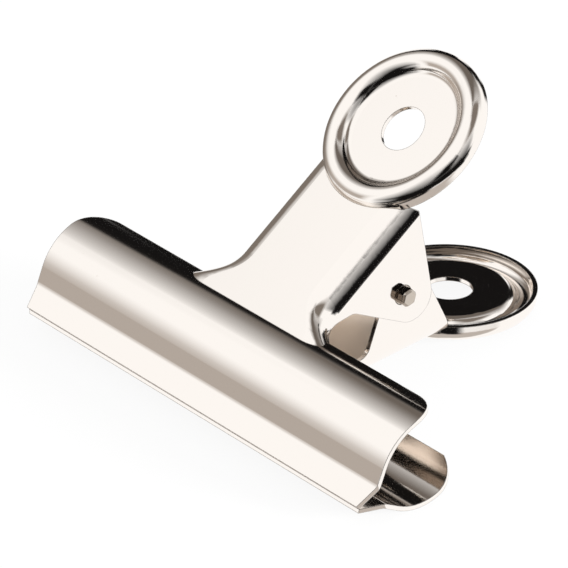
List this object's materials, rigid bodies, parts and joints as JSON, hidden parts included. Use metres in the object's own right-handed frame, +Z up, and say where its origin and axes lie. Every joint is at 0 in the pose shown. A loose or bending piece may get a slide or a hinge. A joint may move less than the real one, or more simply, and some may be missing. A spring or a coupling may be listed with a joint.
{
  "type": "bulldog letter clip",
  "caption": "Sprung letter clip of pressed sheet metal: two wide rounded jaws, pivot pin with torsion spring, and round dished thumb plates with a hanging hole.",
  "frame": {"origin": "middle of the footprint, on the surface that the clip lies on", "axes": "+X along the pivot pin and the width of the jaws; -Y towards the lips, +Y towards the thumb plates; +Z up, the clip lies on its rear leaf"},
  "size_m": [0.0772, 0.0648, 0.0434],
  "materials": {
    "nickel_plate": "bright nickel plate on pressed steel",
    "pin_steel": "bright nickel plate on drawn wire",
    "spring_steel": "bright drawn spring wire"
  },
  "bodies": {
    "rear": {"rear_leaf": "nickel_plate", "pivot_pin": "pin_steel", "torsion_spring": "spring_steel"},
    "front": {"front_leaf": "nickel_plate"}
  },
  "joints": [
    {"name": "jaw_pivot", "type": "hinge", "parent": "rear", "child": "front", "pos_m": [0, 0.00014, 0.01396], "axis": [-1, 0, 0], "range_deg": [0, 68], "stiffness_Nm_per_rad": 0.25, "deforming": ["torsion_spring"]}
  ]
}
